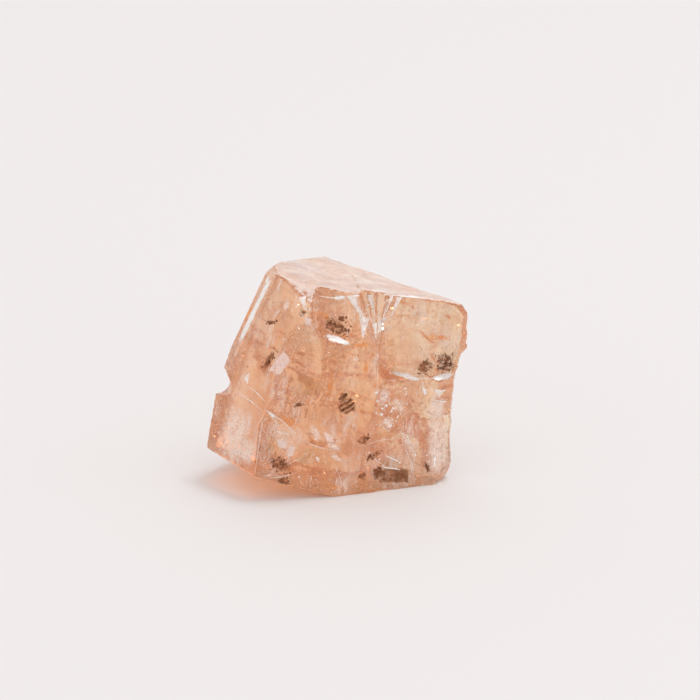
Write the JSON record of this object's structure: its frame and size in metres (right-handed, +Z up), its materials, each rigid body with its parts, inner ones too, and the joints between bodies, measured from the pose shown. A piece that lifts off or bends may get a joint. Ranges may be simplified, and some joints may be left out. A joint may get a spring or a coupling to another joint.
{
  "type": "rough imperial topaz crystal",
  "caption": "Rough peach-orange imperial topaz: a broken, clear prism chunk with a flat cleaved top, flat prism faces and curved breaks, resting on its lowest face.",
  "frame": {"origin": "middle of the underside's bounding box, on the surface that the crystal rests on", "axes": "+Z up; +X along the longest extent, to the right seen from the broken front; +Y from the broken front towards the back, along the shortest extent"},
  "size_m": [0.015, 0.0098, 0.0127],
  "materials": {
    "topaz": "clear peach-orange crystal with a wet-looking lustre, veils and dark mineral flecks",
    "veils": "pale veils, healed cracks and bright flakes just inside the crystal",
    "mineral_flecks": "dark brown mottled films and grains inside the crystal",
    "iron_stain": "orange iron stain along cracks inside the crystal"
  },
  "bodies": {
    "root": {"topaz_crystal": "topaz"}
  },
  "joints": []
}
